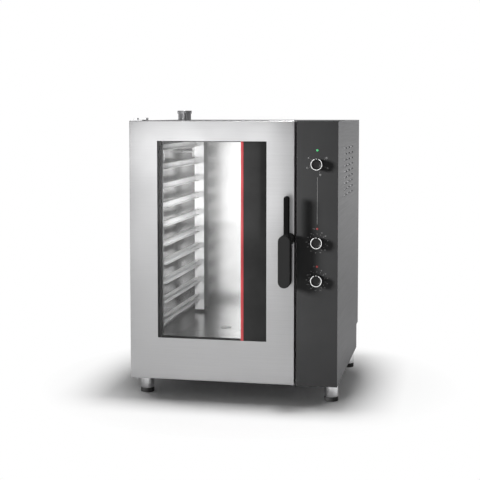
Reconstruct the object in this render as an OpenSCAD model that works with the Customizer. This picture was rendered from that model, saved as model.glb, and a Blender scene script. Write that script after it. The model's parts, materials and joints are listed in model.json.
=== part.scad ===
// Combi steamer oven for ten pans: free-standing counter model with a side-hung glazed door.
// Millimetres, +Z up. X = 0 is the middle of the width, Z = 0 the surface under the feet.
// Inside the modules Y = 0 is the door's front face; placed() moves that to the origin.

/* [Cabinet] */
// Width of the cabinet
body_w = 750; // [740:1:760]
// Height of the cabinet without feet
body_h = 930; // [920:1:935]
// Height of the feet
leg_h = 73; // [60:1:90]
// Depth from the door's front to the lower back
lower_depth = 691; // [685:1:700]
// Depth from the door's front to the raised rear casing
casing_depth = 745; // [735:1:760]
// Height of the rear casing's lower edge above the table
casing_z = 168; // [150:1:190]
// Thickness of the outer sheets
sheet = 1.5; // [1:0.1:2]

/* [Door] */
// Thickness of the door
door_t = 58; // [56:1:60]
// Width of the control panel
panel_w = 144; // [140:1:150]
// Gap between door and control panel
door_gap = 8.5; // [6:0.5:10]
// Distance from the door's front to the cabinet's front frame
frame_y = 62; // [61.5:0.5:64]
// Window opening: left edge
window_left = -272; // [-280:1:-265]
// Window opening: right edge
window_right = 124; // [115:1:130]
// Window opening: lower edge
window_low = 224; // [215:1:235]
// Window opening: upper edge
window_high = 931; // [920:1:938]
// Width of the dark band printed on the glass
band_w = 82.5; // [60:0.5:100]
// Width of the coloured stripe beside the band
stripe_w = 10; // [6:1:14]

/* [Cavity] */
// Left wall of the cooking chamber
cavity_left = -325; // [-330:1:-320]
// Right wall of the cooking chamber
cavity_right = 173; // [170:1:176]
// Floor of the cooking chamber
cavity_low = 212; // [205:1:220]
// Ceiling of the cooking chamber
cavity_high = 947; // [940:1:952]
// Back wall of the cooking chamber
cavity_back = 636; // [625:1:645]
// Radius of the chamber's long edges
cavity_r = 20; // [10:1:30]

/* [Racks] */
// Number of pan levels
levels = 10; // [5:1:10]
// Height between two pan levels
pitch = 70; // [60:1:72]
// Upper edge of the lowest rail
first_rail = 288; // [280:1:295]
// Height of a rail
rail_h = 22; // [16:1:24]
// Depth of a rail's two lips, from the back of its web
rail_lip = 19; // [14:1:22]
// How far a rack lifts off its studs
rack_lift = 12; // [8:1:12]

/* [Controls] */
// Radius of a knob
knob_r = 19; // [16:1:22]
// How far a knob stands out
knob_out = 28; // [20:1:30]
// Height of the mode knob
mode_z = 853; // [840:1:860]
// Height of the timer knob
timer_z = 581; // [570:1:590]
// Height of the temperature knob
temperature_z = 449; // [440:1:460]

/* [Hidden] */
$fn = 64;
origin_y = 340;
half_w = body_w / 2;
top_z = leg_h + body_h;
panel_left = half_w - panel_w;
door_left = -half_w;
door_right = panel_left - door_gap;
door_low = leg_h + 0.3;
door_high = top_z - 0.3;
hinge_x = door_left + 18;
hinge_y = 30;
hinge_pin_r = 5;
leg_x = half_w - 32.5;
leg_front_y = 106;
leg_back_y = 656;
leg_r = 25;
foot_h = 16;
stem_r = 6;
running = 0.05;
back_y = lower_depth - sheet;
partition_x = 214;
fan_y = 350;
fan_low_z = 397;
fan_high_z = 765;
fan_shaft_r = 7;
water_z = (fan_low_z + fan_high_z) / 2;
terminal_dy = 110;
terminal_dzs = [78, 94];
baffle_x = 95;
rack_web_x = -279.75;
rack_t = 1.5;
rail_stop = 36;
rack_mid_x = -111.5;
rail_front = 76;
rail_back = 598;
stud_ys = [110, 565];
stud_z = 875;
stud_r = 5;
drain_x = -87;
drain_y = 297;
drain_z = 120;
drain_r = 17.5;
drain_wall = 1.5;
drain_outlet_r = 20;
drain_outlet_l = 50;
vent_x = -299;
vent_y = 500;
vent_r = 23.5;
vent_pipe_top = 1034;
vent_top = 1040;
lamp_x = 60;
lamp_y = 200;
knob_x = (panel_left + half_w) / 2;
knob_heights = [mode_z, timer_z, temperature_z];
lamp_heights = [901, 628, 496];
handle_x = 207;
handle_z = 592;
grip_x = 196.5;
grip_front = -65;
valve_x = 300;
valve_y = 643;
valve_z = 130;
gland_x = 250;
gland_r = 8;
cooling_duct_r = 56;
cooling_stub_r = 3;
spindle_r = 3;
cooling_z = 560;

// ---- helpers ----

// Holes behind the two fan wheels: motor shafts, heater terminals and the water pipe
module fan_wall_holes(x0, x1, shaft_r, terminal_r, pipe_r) {
    for (z = [fan_low_z, fan_high_z]) {
        rod_x(x0, x1, shaft_r, fan_y, z);
        for (dz = terminal_dzs) rod_x(x0, x1, terminal_r, fan_y + terminal_dy, z + dz);
    }
    rod_x(x0, x1, pipe_r, fan_y, water_z);
}

// Moves a piece drawn from the door's front face into the part's frame
module placed() {
    translate([0, -origin_y, 0]) children();
}

// Box between two corners
module block(low, high) {
    translate(low) cube(high - low);
}

// Extrudes an X-Z outline from y0 to y1
module along_y(y0, y1) {
    translate([0, y1, 0]) rotate([90, 0, 0]) linear_extrude(y1 - y0) children();
}

// Extrudes a Y-Z outline from x0 to x1
module along_x(x0, x1) {
    translate([x0, 0, 0]) rotate([90, 0, 90]) linear_extrude(x1 - x0) children();
}

module rod_x(x0, x1, r, y, z) {
    translate([x0, y, z]) rotate([0, 90, 0]) cylinder(r = r, h = x1 - x0);
}

module rod_y(y0, y1, r, x, z) {
    translate([x, y1, z]) rotate([90, 0, 0]) cylinder(r = r, h = y1 - y0);
}

module rod_z(z0, z1, r, x, y) {
    translate([x, y, z0]) cylinder(r = r, h = z1 - z0);
}

// Rectangle between two corners
module rect(low, high) {
    translate(low) square(high - low);
}

// Rectangle with round corners, built from exact arcs
module round_rect(low, high, r) {
    rect(low + [r, 0], high - [r, 0]);
    rect(low + [0, r], high - [0, r]);
    for (x = [low[0] + r, high[0] - r], y = [low[1] + r, high[1] - r])
        translate([x, y]) circle(r = r);
}

// Ring between two round rectangles, the inner one inset by w
module round_ring(low, high, r, w) {
    difference() {
        round_rect(low, high, r);
        round_rect(low + [w, w], high - [w, w], max(r - w, 0.5));
    }
}

module cavity_outline(grow) {
    round_rect(
        [cavity_left - grow, cavity_low - grow],
        [cavity_right + grow, cavity_high + grow],
        cavity_r + grow
    );
}

// ---- cabinet ----

module base_tray() {
    flange = 30;
    z0 = leg_h;
    z1 = z0 + sheet;
    x1 = half_w - sheet - 0.1;
    y0 = frame_y + sheet;
    color("silver") placed() difference() {
        union() {
            block([-x1, y0, z0], [x1, back_y, z1]);
            for (edge = [-x1, x1 - sheet]) block([edge, y0, z1], [edge + sheet, back_y, z0 + flange]);
            block([-x1, y0, z1], [x1, y0 + sheet, z0 + flange]);
        }
        for (x = [-leg_x, leg_x], y = [leg_front_y, leg_back_y])
            rod_z(z0 - 1, z1 + 1, 5 + running, x, y);
        for (i = [0 : 7])
            block([260, 220 + i * 24, z0 - 1], [345, 228 + i * 24, z1 + 1]);
    }
}

module top_panel() {
    lip = 18;
    z0 = top_z - sheet;
    color("silver") placed() difference() {
        union() {
            block([-half_w, frame_y, z0], [half_w, casing_depth, top_z]);
            block([-half_w, casing_depth - sheet, top_z - lip], [half_w, casing_depth, top_z]);
        }
        rod_z(z0 - 1, top_z + 1, vent_r + 0.2, vent_x, vent_y);
    }
}

// Outline of a side: stepped where the rear casing stands out
module side_outline(front) {
    z1 = top_z - sheet;
    y1 = casing_depth - sheet;
    polygon([
        [front, leg_h], [lower_depth, leg_h], [lower_depth, casing_z],
        [y1, casing_z], [y1, z1], [front, z1]
    ]);
}

module side_panel_left() {
    color("silver") placed() along_x(-half_w, -half_w + sheet) side_outline(frame_y);
}

// Louvres pressed inwards in the right side panel, for the technical compartment
module side_panel_right() {
    columns = [233, 336, 447];
    length = 84;
    rows = 9;
    row_pitch = 21.4;
    low_row = 731;
    slot_h = 6;
    x0 = half_w - sheet;
    color("dimgray") placed() difference() {
        union() {
            along_x(x0, half_w) side_outline(sheet);
            block([x0, sheet, top_z - sheet], [half_w, frame_y, top_z]);
            for (y = columns, i = [0 : rows - 1]) {
                z = low_row + i * row_pitch;
                along_y(y - length / 2 - 2, y + length / 2 + 2)
                    polygon([[x0, z - 5.5], [x0, z - 4], [x0 - 5, z + 6], [x0 - 6.4, z + 6]]);
            }
        }
        for (y = columns, i = [0 : rows - 1])
            block(
                [x0 - 0.5, y - length / 2, low_row - slot_h / 2 + i * row_pitch],
                [half_w + 1, y + length / 2, low_row + slot_h / 2 + i * row_pitch]
            );
    }
}

// Slides down over the drain pipe, which its slot leaves free
module rear_panel() {
    x1 = half_w - sheet - 0.1;
    slot_r = drain_r + drain_wall + 0.2;
    valve_hole_r = 13;
    grille_r = cooling_duct_r - 2;
    low = leg_h + sheet;
    color("silver") placed() difference() {
        block([-x1, back_y, low], [x1, lower_depth, top_z - sheet]);
        rod_y(back_y - 1, lower_depth + 1, slot_r, drain_x, drain_z);
        block([drain_x - slot_r, back_y - 1, low - 1], [drain_x + slot_r, lower_depth + 1, drain_z]);
        rod_y(back_y - 1, lower_depth + 1, valve_hole_r, valve_x, valve_z);
        rod_y(back_y - 1, lower_depth + 1, gland_r + running, gland_x, valve_z);
        rod_y(back_y - 1, lower_depth + 1, grille_r, valve_x, cooling_z);
    }
}

// Raised casing at the back, with the outlet slots of the cooling fan
module rear_cover() {
    x1 = half_w - sheet - 0.1;
    y0 = casing_depth - 2 * sheet;
    y1 = casing_depth - sheet;
    z1 = top_z - sheet;
    slots = 12;
    slot_low = cooling_z - 66;
    color("silver") placed() difference() {
        union() {
            block([-x1, y0, casing_z], [x1, y1, z1]);
            block([-x1, lower_depth, casing_z], [x1, y0, casing_z + sheet]);
        }
        for (z = [slot_low : 12 : slot_low + 12 * (slots - 1)])
            block([valve_x - 55, y0 - 1, z], [valve_x + 55, y1 + 1, z + 5]);
    }
}

module front_frame() {
    x1 = half_w - sheet - 0.1;
    color("lightgray") placed() along_y(frame_y, frame_y + sheet) difference() {
        rect([-x1, leg_h + sheet], [x1, top_z - sheet]);
        cavity_outline(sheet);
        rect([panel_left + 16, leg_h + 20], [half_w - 12, top_z - 20]);
    }
}

// Wall between the insulation and the technical compartment
module partition() {
    color("silver") placed() difference() {
        block(
            [partition_x, frame_y + 2 * sheet + 0.1, leg_h + sheet],
            [partition_x + sheet, back_y, top_z - sheet]
        );
        fan_wall_holes(partition_x - 1, partition_x + 3, 12, 5, 4.5);
    }
}

module cavity_shell() {
    color("gainsboro") placed() difference() {
        union() {
            along_y(frame_y, cavity_back) difference() {
                cavity_outline(sheet);
                cavity_outline(0);
            }
            along_y(cavity_back, cavity_back + sheet) cavity_outline(sheet);
        }
        rod_z(cavity_low - 3, cavity_low + 1, drain_r, drain_x, drain_y);
        rod_z(cavity_high - 1, cavity_high + 3, vent_r - 2, vent_x, vent_y);
        fan_wall_holes(cavity_right - 1, cavity_right + 3, 12, 5, 4.5);
        rod_z(cavity_high - 1, cavity_high + 3, 25, lamp_x, lamp_y);
    }
}

// Mineral wool sleeve between the chamber and the outer sheets
module insulation() {
    wool = 38;
    color("khaki") placed() difference() {
        union() {
            along_y(frame_y + 6, cavity_back + sheet) difference() {
                cavity_outline(wool);
                cavity_outline(sheet + 0.1);
            }
            along_y(cavity_back + sheet, cavity_back + wool) cavity_outline(wool);
        }
        rod_z(cavity_low - wool - 1, cavity_low, 21, drain_x, drain_y);
        rod_z(cavity_high, cavity_high + wool + 1, vent_r + 1, vent_x, vent_y);
        fan_wall_holes(cavity_right, partition_x, 14, 6, 6);
        rod_z(cavity_high, cavity_high + wool + 1, 27, lamp_x, lamp_y);
    }
}

module door_seal() {
    seal_w = 12;
    reveal = 4;
    color("black") placed() along_y(door_t + 0.4, frame_y) difference() {
        cavity_outline(reveal + seal_w);
        cavity_outline(reveal);
    }
}

// ---- chamber fittings ----

// Perforated wall before the fans, on six standoffs, with a guard in each inlet
module fan_baffle() {
    front = 98;
    back = 612;
    low = 228;
    high = cavity_high - rack_lift - 3;
    inlet_r = 82;
    inset = 14;
    color("lightgray") placed() {
        difference() {
            block([baffle_x, front, low], [baffle_x + 2, back, high]);
            for (z = [fan_low_z, fan_high_z]) rod_x(baffle_x - 1, baffle_x + 3, inlet_r, fan_y, z);
        }
        for (z = [fan_low_z, fan_high_z], a = [0 : 45 : 135])
            translate([baffle_x + 1, fan_y, z]) rotate([a, 0, 0])
                cube([2, 4, 2 * inlet_r + 4], center = true);
        for (y = [front + inset, back - inset], z = [low + inset, (low + high) / 2, high - inset])
            rod_x(baffle_x + 2, cavity_right, 5, y, z);
    }
}

// Frame of one rack: a front and a rear upright, each with an ear that hangs on a stud
module rack_frame() {
    low = 223;
    high = 932;
    ear = 13;
    flange = 8;
    slack = 0.3;
    front_lip = 9;
    face_x = rack_web_x - rack_t;
    front = rail_front - rack_t;
    back = rail_back + rack_t;
    slot_r = stud_r + slack;
    difference() {
        union() {
            block([face_x, front, low], [rack_web_x + front_lip, rail_front, high]);
            block([face_x, rail_back, low], [rack_web_x + rail_stop, back, high]);
            block([face_x, front, low], [rack_web_x, rail_front + flange, high]);
            block([face_x, rail_back - flange, low], [rack_web_x, back, high]);
            for (span = [[front, stud_ys[0] + ear], [stud_ys[1] - ear, back]])
                block([face_x, span[0], stud_z - 22], [rack_web_x, span[1], stud_z + 16]);
        }
        for (y = stud_ys) {
            rod_x(face_x - 1, rack_web_x + 1, slot_r, y, stud_z);
            block([face_x - 1, y - slot_r, stud_z - 30], [rack_web_x + 1, y + slot_r, stud_z]);
        }
    }
}

// Channel rails of one rack, open to the chamber, each with a stop at its rear end
module rack_rails() {
    for (i = [0 : levels - 1])
        translate([0, 0, first_rail + i * pitch]) {
            block([rack_web_x, rail_front, -rail_h], [rack_web_x + rack_t, rail_back, 0]);
            for (z = [-rail_h, -rack_t])
                block([rack_web_x, rail_front, z], [rack_web_x + rail_lip, rail_back, z + rack_t]);
            block([rack_web_x, rail_back - rack_t, 2 - rail_h], [rack_web_x + rail_stop, rail_back, 5]);
        }
}

// The same on the other side of the chamber
module on_right() {
    translate([2 * rack_mid_x, 0, 0]) mirror([1, 0, 0]) children();
}

module rack_left() {
    color("whitesmoke") placed() rack_frame();
}

module rack_right() {
    color("whitesmoke") placed() on_right() rack_frame();
}

module rails_left() {
    color("whitesmoke") placed() rack_rails();
}

module rails_right() {
    color("whitesmoke") placed() on_right() rack_rails();
}

// Studs that carry the racks: on the left wall and on the baffle
module rack_studs() {
    tip = rack_web_x + 3;
    color("silver") placed() for (y = stud_ys) {
        rod_x(cavity_left, tip, stud_r, y, stud_z);
        rod_x(2 * rack_mid_x - tip, baffle_x, stud_r, y, stud_z);
    }
}

// Radial wheel, opening towards the chamber, on the motor's shaft
module fan_wheel(z) {
    wheel_r = 105;
    x0 = 106;
    x1 = 158;
    blades = 10;
    color("silver") placed() {
        difference() {
            union() {
                rod_x(x1 - 2, x1, wheel_r, fan_y, z);
                rod_x(x0, x0 + 2, wheel_r, fan_y, z);
            }
            rod_x(x0 - 1, x0 + 3, 78, fan_y, z);
        }
        for (i = [0 : blades - 1])
            translate([(x0 + x1) / 2, fan_y, z]) rotate([i * 360 / blades, 0, 0])
                translate([0, 0, 82]) rotate([25, 0, 0]) cube([x1 - x0 - 1, 2, 42], center = true);
        rod_x(x1 - 26, x1 - 1, 16, fan_y, z);
        rod_x(x1 - 1, partition_x + 80, fan_shaft_r, fan_y, z);
    }
}

module fan_wheel_upper() {
    fan_wheel(fan_high_z);
}

module fan_wheel_lower() {
    fan_wheel(fan_low_z);
}

module fan_motor(z) {
    x0 = partition_x + sheet;
    length = 108;
    color("slategray") placed() difference() {
        union() {
            rod_x(x0, x0 + 6, 66, fan_y, z);
            rod_x(x0 + 6, x0 + length, 56, fan_y, z);
            for (i = [0 : 6]) rod_x(x0 + 22 + i * 11, x0 + 25 + i * 11, 60, fan_y, z);
            block([x0 + 30, fan_y - 28, z + 50], [x0 + 80, fan_y + 28, z + 74]);
        }
        rod_x(x0 - 1, x0 + 90, fan_shaft_r + running, fan_y, z);
    }
}

module fan_motors() {
    fan_motor(fan_high_z);
    fan_motor(fan_low_z);
}

// Three-turn tubular element around a fan wheel, with two terminal legs through the wall
module heater(z) {
    ring_r = 134.9;
    turns = [116, 132, 148];
    leg_r = 4.6;
    leg_y = fan_y + terminal_dy;
    leg_x0 = turns[0] - 11;
    color("dimgray") placed() {
        for (x = turns) translate([x, fan_y, z]) rotate([0, 90, 0])
            rotate_extrude() translate([ring_r, 0]) circle(r = 4, $fn = 24);
        rod_x(leg_x0, turns[2] + 8, 5, fan_y - terminal_dy, z - terminal_dzs[0]);
        for (dz = terminal_dzs) rod_x(leg_x0, partition_x + 26, leg_r, leg_y, z + dz);
        block(
            [leg_x0 + 1, leg_y - 2.5, z + terminal_dzs[0]],
            [leg_x0 + 5, leg_y + 2.5, z + terminal_dzs[1]]
        );
    }
}

module heaters() {
    heater(fan_low_z);
    heater(fan_high_z);
}

// Water pipe from the solenoid valve up to the nozzle between the fans
module steam_pipe() {
    r = 3.5;
    nozzle_r = 6;
    y1 = 620;
    x1 = valve_x;
    bends = [[x1, y1, valve_z], [x1, y1, water_z], [x1, fan_y, water_z]];
    color("silver") placed() {
        rod_y(y1, valve_y, r, x1, valve_z);
        rod_z(valve_z, water_z, r, x1, y1);
        rod_y(fan_y, y1, r, x1, water_z);
        rod_x(cavity_right - 20, x1, r, fan_y, water_z);
        for (c = bends) translate(c) sphere(r = r);
        rod_x(cavity_right - 26, cavity_right - 14, nozzle_r, fan_y, water_z);
    }
}

// Solenoid valve with a threaded inlet through the back
module water_valve() {
    inlet_r = 13.2;
    inlet_l = 20;
    nut_y = lower_depth - 7;
    color("white") placed() difference() {
        union() {
            rod_y(lower_depth, lower_depth + inlet_l, inlet_r, valve_x, valve_z);
            rod_y(back_y, lower_depth, inlet_r - 0.4, valve_x, valve_z);
            rod_y(nut_y, back_y, 18, valve_x, valve_z);
            block([valve_x - 14, valve_y + 7, valve_z - 14], [valve_x + 14, nut_y, valve_z + 14]);
            block([valve_x - 17, valve_y + 9, valve_z + 14], [valve_x + 17, nut_y - 2, valve_z + 48]);
            rod_y(valve_y, valve_y + 7, 7, valve_x, valve_z);
        }
        rod_y(lower_depth - 15, lower_depth + inlet_l + 1, 9, valve_x, valve_z);
    }
}

// Waste pipe: down from the chamber's floor, then straight out at the back
module drain_pipe() {
    r = drain_r + drain_wall;
    elbow = [drain_x, drain_y, drain_z];
    end = lower_depth + drain_outlet_l;
    color("silver") placed() difference() {
        union() {
            rod_z(drain_z, cavity_low - sheet, r, drain_x, drain_y);
            rod_y(drain_y, lower_depth, r, drain_x, drain_z);
            rod_y(lower_depth, end, drain_outlet_r, drain_x, drain_z);
            translate(elbow) sphere(r = r);
        }
        rod_z(drain_z, cavity_low + 1, drain_r, drain_x, drain_y);
        rod_y(drain_y, end + 1, drain_r, drain_x, drain_z);
        translate(elbow) sphere(r = drain_r);
    }
}

// Loose strainer in the drain: lifts out
module drain_strainer() {
    z0 = cavity_low + 0.3;
    cup_r = drain_r - 1.5;
    color("silver") placed() difference() {
        union() {
            rod_z(z0, z0 + 1.5, drain_r + 3, drain_x, drain_y);
            rod_z(z0 - 20, z0, cup_r, drain_x, drain_y);
        }
        rod_z(z0 - 18, z0 + 0.01, cup_r - 1.5, drain_x, drain_y);
        for (i = [0 : 7])
            rotate_about(drain_x, drain_y, i * 45) rod_z(z0 - 0.5, z0 + 3, 2, drain_x + 10, drain_y);
        rod_z(z0 - 0.5, z0 + 3, 3, drain_x, drain_y);
    }
}

module rotate_about(x, y, a) {
    translate([x, y, 0]) rotate([0, 0, a]) translate([-x, -y, 0]) children();
}

module vent_pipe() {
    color("silver") placed() difference() {
        rod_z(cavity_high + sheet, vent_pipe_top, vent_r, vent_x, vent_y);
        rod_z(cavity_high, vent_pipe_top + 1, vent_r - sheet, vent_x, vent_y);
    }
}

// Slotted crown on the vent pipe
module vent_cap() {
    cap_r = 28.5;
    mouth_r = 17;
    slots = 16;
    z0 = vent_top - 12;
    color("silver") placed() difference() {
        rod_z(z0, vent_top, cap_r, vent_x, vent_y);
        rod_z(z0 - 1, vent_pipe_top, vent_r, vent_x, vent_y);
        rod_z(z0, vent_top + 1, mouth_r, vent_x, vent_y);
        for (i = [0 : slots - 1])
            rotate_about(vent_x, vent_y, i * 360 / slots) block(
                [vent_x + 24.5, vent_y - 1.5, vent_pipe_top],
                [vent_x + 30, vent_y + 1.5, vent_top + 1]
            );
    }
}

// ---- technical compartment ----

// Square frame with two struts that carry the bearing stub
module cooling_fan_frame() {
    half = 60;
    screw_at = 52.5;
    screw_r = 2.2;
    y0 = back_y - 38;
    color("black") placed() difference() {
        union() {
            difference() {
                block([valve_x - half, y0, cooling_z - half],
                      [valve_x + half, back_y, cooling_z + half]);
                rod_y(y0 - 1, back_y + 1, cooling_duct_r, valve_x, cooling_z);
            }
            for (a = [45, 135])
                translate([valve_x, y0 + 3, cooling_z]) rotate([0, a, 0])
                    cube([117, 4, 7], center = true);
            rod_y(y0 + 0.5, y0 + 5.5, 20, valve_x, cooling_z);
            rod_y(y0 + 5, y0 + 22, cooling_stub_r, valve_x, cooling_z);
        }
        for (x = [-screw_at, screw_at], z = [-screw_at, screw_at])
            rod_y(y0 - 1, back_y + 1, screw_r, valve_x + x, cooling_z + z);
    }
}

module cooling_fan_wheel() {
    y0 = back_y - 31;
    blades = 7;
    color("dimgray") placed() difference() {
        union() {
            rod_y(y0, y0 + 26, 20, valve_x, cooling_z);
            for (i = [0 : blades - 1])
                translate([valve_x, y0 + 13, cooling_z]) rotate([0, i * 360 / blades, 0])
                    translate([0, 0, 36]) rotate([0, 0, 35]) cube([26, 2, 34], center = true);
        }
        rod_y(y0 - 1, y0 + 16, cooling_stub_r + running, valve_x, cooling_z);
    }
}

module terminal_block() {
    color("white") placed() difference() {
        block([235, 590, leg_h + sheet], [345, 616, 102]);
        for (i = [0 : 5]) rod_z(84, 104, 4, 247 + i * 17, 597);
    }
}

module contactors() {
    x0 = partition_x + sheet;
    color("darkslategray") placed() for (y = [500, 552]) {
        block([x0, y, 700], [x0 + 42, y + 45, 780]);
        block([x0 + 42, y + 8, 712], [x0 + 66, y + 37, 768]);
    }
}

module rotary_switches() {
    color("ivory") placed() for (z = knob_heights) difference() {
        union() {
            block([knob_x - 22, 14, z - 22], [knob_x + 22, 50, z + 22]);
            rod_y(sheet, 14, 8, knob_x, z);
        }
        rod_y(0, 30, spindle_r + running, knob_x, z);
    }
}

module lamp_housing() {
    color("silver") placed() difference() {
        rod_z(cavity_high + sheet, cavity_high + 40, 26, lamp_x, lamp_y);
        rod_z(cavity_high, cavity_high + 38, 24, lamp_x, lamp_y);
    }
}

module lamp_lens() {
    color("azure") placed() rod_z(cavity_high - 5, cavity_high, 31, lamp_x, lamp_y);
}

module cable_gland() {
    color("black") placed() difference() {
        union() {
            rod_y(back_y - 8, lower_depth + 8, gland_r, gland_x, valve_z);
            rod_y(lower_depth, lower_depth + 8, 12, gland_x, valve_z);
            rod_y(back_y - 6, back_y, 12, gland_x, valve_z);
            rod_y(lower_depth + 8, lower_depth + 24, 10, gland_x, valve_z);
        }
        rod_y(back_y - 9, lower_depth + 25, 6, gland_x, valve_z);
    }
}

// ---- controls ----

module control_panel() {
    x1 = half_w - sheet - 0.1;
    z0 = leg_h + sheet;
    z1 = top_z - sheet;
    y1 = frame_y - 0.1;
    color("dimgray") placed() difference() {
        union() {
            block([panel_left, 0, leg_h], [half_w, sheet, top_z]);
            block([panel_left, sheet, leg_h], [panel_left + sheet, y1, top_z]);
            block([panel_left, sheet, leg_h], [x1, y1, z0]);
            block([panel_left, sheet, z1], [x1, y1, top_z]);
        }
        for (z = knob_heights) rod_y(-1, sheet + 1, 5, knob_x, z);
        for (z = lamp_heights) rod_y(-1, sheet + 1, 3, knob_x, z);
    }
}

// Knob with its spindle, facing forward
module knob(z) {
    color("black") placed() {
        difference() {
            rod_y(-knob_out, -1, knob_r, knob_x, z);
            rod_y(-knob_out - 1, -knob_out + 1.5, knob_r - 3, knob_x, z);
            rod_y(-8, 0, knob_r - 4, knob_x, z);
        }
        rod_y(-9, 26, spindle_r, knob_x, z);
    }
}

module knob_mode() {
    knob(mode_z);
}

module knob_timer() {
    knob(timer_z);
}

module knob_temperature() {
    knob(temperature_z);
}

// Bright ring around a knob's face, open at the pointer
module knob_ring(z) {
    color("white") placed() difference() {
        rod_y(-knob_out - 0.5, -knob_out + 2.5, knob_r + 1.5, knob_x, z);
        rod_y(-knob_out - 1, -knob_out + 3, knob_r, knob_x, z);
        block([knob_x - 2, -knob_out - 1, z], [knob_x + 2, -knob_out + 3, z + 30]);
    }
}

module knob_ring_mode() {
    knob_ring(mode_z);
}

module knob_ring_timer() {
    knob_ring(timer_z);
}

module knob_ring_temperature() {
    knob_ring(temperature_z);
}

module indicator(z) {
    rod_y(-1, 0, 4, knob_x, z);
    rod_y(0, 10, 3, knob_x, z);
}

module indicator_green() {
    color("lime") placed() indicator(lamp_heights[0]);
}

module indicators_red() {
    color("red") placed() for (i = [1, 2]) indicator(lamp_heights[i]);
}

// ---- door ----

module door_skin() {
    depth = 54;
    color("silver") placed() difference() {
        union() {
            along_y(0, sheet) difference() {
                rect([door_left, door_low], [door_right, door_high]);
                rect([window_left, window_low], [window_right, window_high]);
            }
            along_y(sheet, depth) difference() {
                rect([door_left, door_low], [door_right, door_high]);
                rect([door_left + sheet, door_low + sheet], [door_right - sheet, door_high - sheet]);
            }
        }
        rod_y(-1, sheet + 1, 9, handle_x, handle_z);
        rod_z(door_low - 1, door_low + sheet + 1, hinge_pin_r + 1, hinge_x, hinge_y);
        rod_z(door_high - sheet - 1, door_high + 1, hinge_pin_r + 1, hinge_x, hinge_y);
    }
}

// Inner lining of the door, carrying the inner pane
module door_inner() {
    edge = 9;
    low = [door_left + edge, door_low + edge];
    high = [door_right - edge, door_high - edge];
    glass_low = [window_left - 6, window_low - 6];
    glass_high = [window_right + 6, window_high + 6];
    color("gainsboro") placed() difference() {
        union() {
            along_y(door_t - sheet, door_t) difference() {
                round_rect(low, high, 8);
                round_rect(glass_low, glass_high, 6);
            }
            along_y(38, door_t - sheet) round_ring(low, high, 8, sheet);
            along_y(38, 38 + sheet) difference() {
                rect([door_left + sheet, door_low + sheet], [door_right - sheet, door_high - sheet]);
                round_rect(low, high, 8);
            }
        }
        block(
            [handle_x - 16, 30, handle_z - 44],
            [door_right - sheet, door_t - sheet - 0.1, handle_z + 20]
        );
        block([handle_x - 1, 30, handle_z - 40], [door_right, door_t + 1, handle_z - 4]);
    }
}

module glass_panes() {
    grow = 10;
    pane_t = 4;
    color("lightcyan") placed() for (y = [sheet, door_t - sheet - pane_t])
        block(
            [window_left - grow, y, window_low - grow],
            [window_right + grow, y + pane_t, window_high + grow]
        );
}

// Dark band and coloured stripe on the face of the outer pane
module glass_print() {
    y0 = sheet - 0.5;
    band_left = window_right - band_w;
    color("dimgray") placed() block([band_left, y0, window_low], [window_right, sheet, window_high]);
    color("indianred") placed()
        block([band_left - stripe_w, y0, window_low], [band_left - 0.01, sheet, window_high]);
}

// Dark spacer frame between the two panes
module glass_spacer() {
    low = [window_left - 8, window_low - 8];
    high = [window_right + 8, window_high + 8];
    color("black") placed() {
        along_y(sheet + 4, 12) difference() {
            rect(low, high);
            rect([window_left + 14, window_low + 3], [window_right - 14, window_high - 3]);
        }
        along_y(12, door_t - sheet - 4) difference() {
            rect(low, high);
            rect(low + [6, 6], high - [6, 6]);
        }
    }
}

// Upright lever: slim bar above, broad grip below, turning on its hub
module handle() {
    grip_r = 21.5;
    grip_low = 426;
    grip_high = 609;
    grip_back = -22;
    bar_r = 9.5;
    bar_x = 203.5;
    bar_top = 745;
    bar_back = -40;
    hub_r = 19;
    color("black") placed() {
        along_y(grip_front, grip_back) {
            rect([grip_x - grip_r, grip_low + grip_r], [grip_x + grip_r, grip_high - grip_r]);
            for (z = [grip_low + grip_r, grip_high - grip_r]) translate([grip_x, z]) circle(r = grip_r);
        }
        along_y(grip_front + 4, bar_back) {
            rect([bar_x - bar_r, handle_z], [bar_x + bar_r, bar_top - bar_r]);
            translate([bar_x, bar_top - bar_r]) circle(r = bar_r);
        }
        rod_y(bar_back, -1, hub_r, handle_x, handle_z);
    }
}

// Spindle through the door with the lug that meets the keeper
module latch_cam() {
    lug_w = 10;
    lug_l = 30;
    color("silver") placed() {
        rod_y(-1, 50, 7, handle_x, handle_z);
        rod_y(42, 50, 11, handle_x, handle_z);
        block([handle_x - lug_w / 2, 42, handle_z - lug_l], [handle_x + lug_w / 2, 50, handle_z]);
    }
}

// Keeper on the front frame, reaching into the door's edge
module latch_keeper() {
    color("silver") placed() {
        block([213, frame_y - 1.5, 556], [door_right - 2, frame_y, 584]);
        block([214, 42, 562], [217, frame_y - 1.5, 578]);
    }
}

// Brackets above and below the door's hinge side
module hinge_brackets() {
    t = 3;
    color("silver") placed() {
        difference() {
            union() {
                block([door_left, 12, top_z], [door_left + 44, 95, top_z + t]);
                block([door_left + 40, 62, top_z + t], [door_left + 44, 95, top_z + 10]);
            }
            rod_z(top_z - 1, top_z + t + 1, hinge_pin_r + running, hinge_x, hinge_y);
        }
        difference() {
            block([door_left + 4, 12, leg_h - t], [door_left + 44, 78, leg_h]);
            rod_z(leg_h - t - 1, leg_h + 1, hinge_pin_r + running, hinge_x, hinge_y);
        }
    }
}

// Hinge pins with their heads outside the brackets
module hinge_pins() {
    t = 3;
    color("silver") placed() {
        rod_z(top_z - 40, top_z + t, hinge_pin_r, hinge_x, hinge_y);
        translate([hinge_x, hinge_y, top_z + t]) cylinder(r = 9, h = 6, $fn = 6);
        rod_z(leg_h - t, leg_h + 40, hinge_pin_r, hinge_x, hinge_y);
        translate([hinge_x, hinge_y, leg_h - t - 5]) cylinder(r = 9, h = 5, $fn = 6);
    }
}

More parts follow.
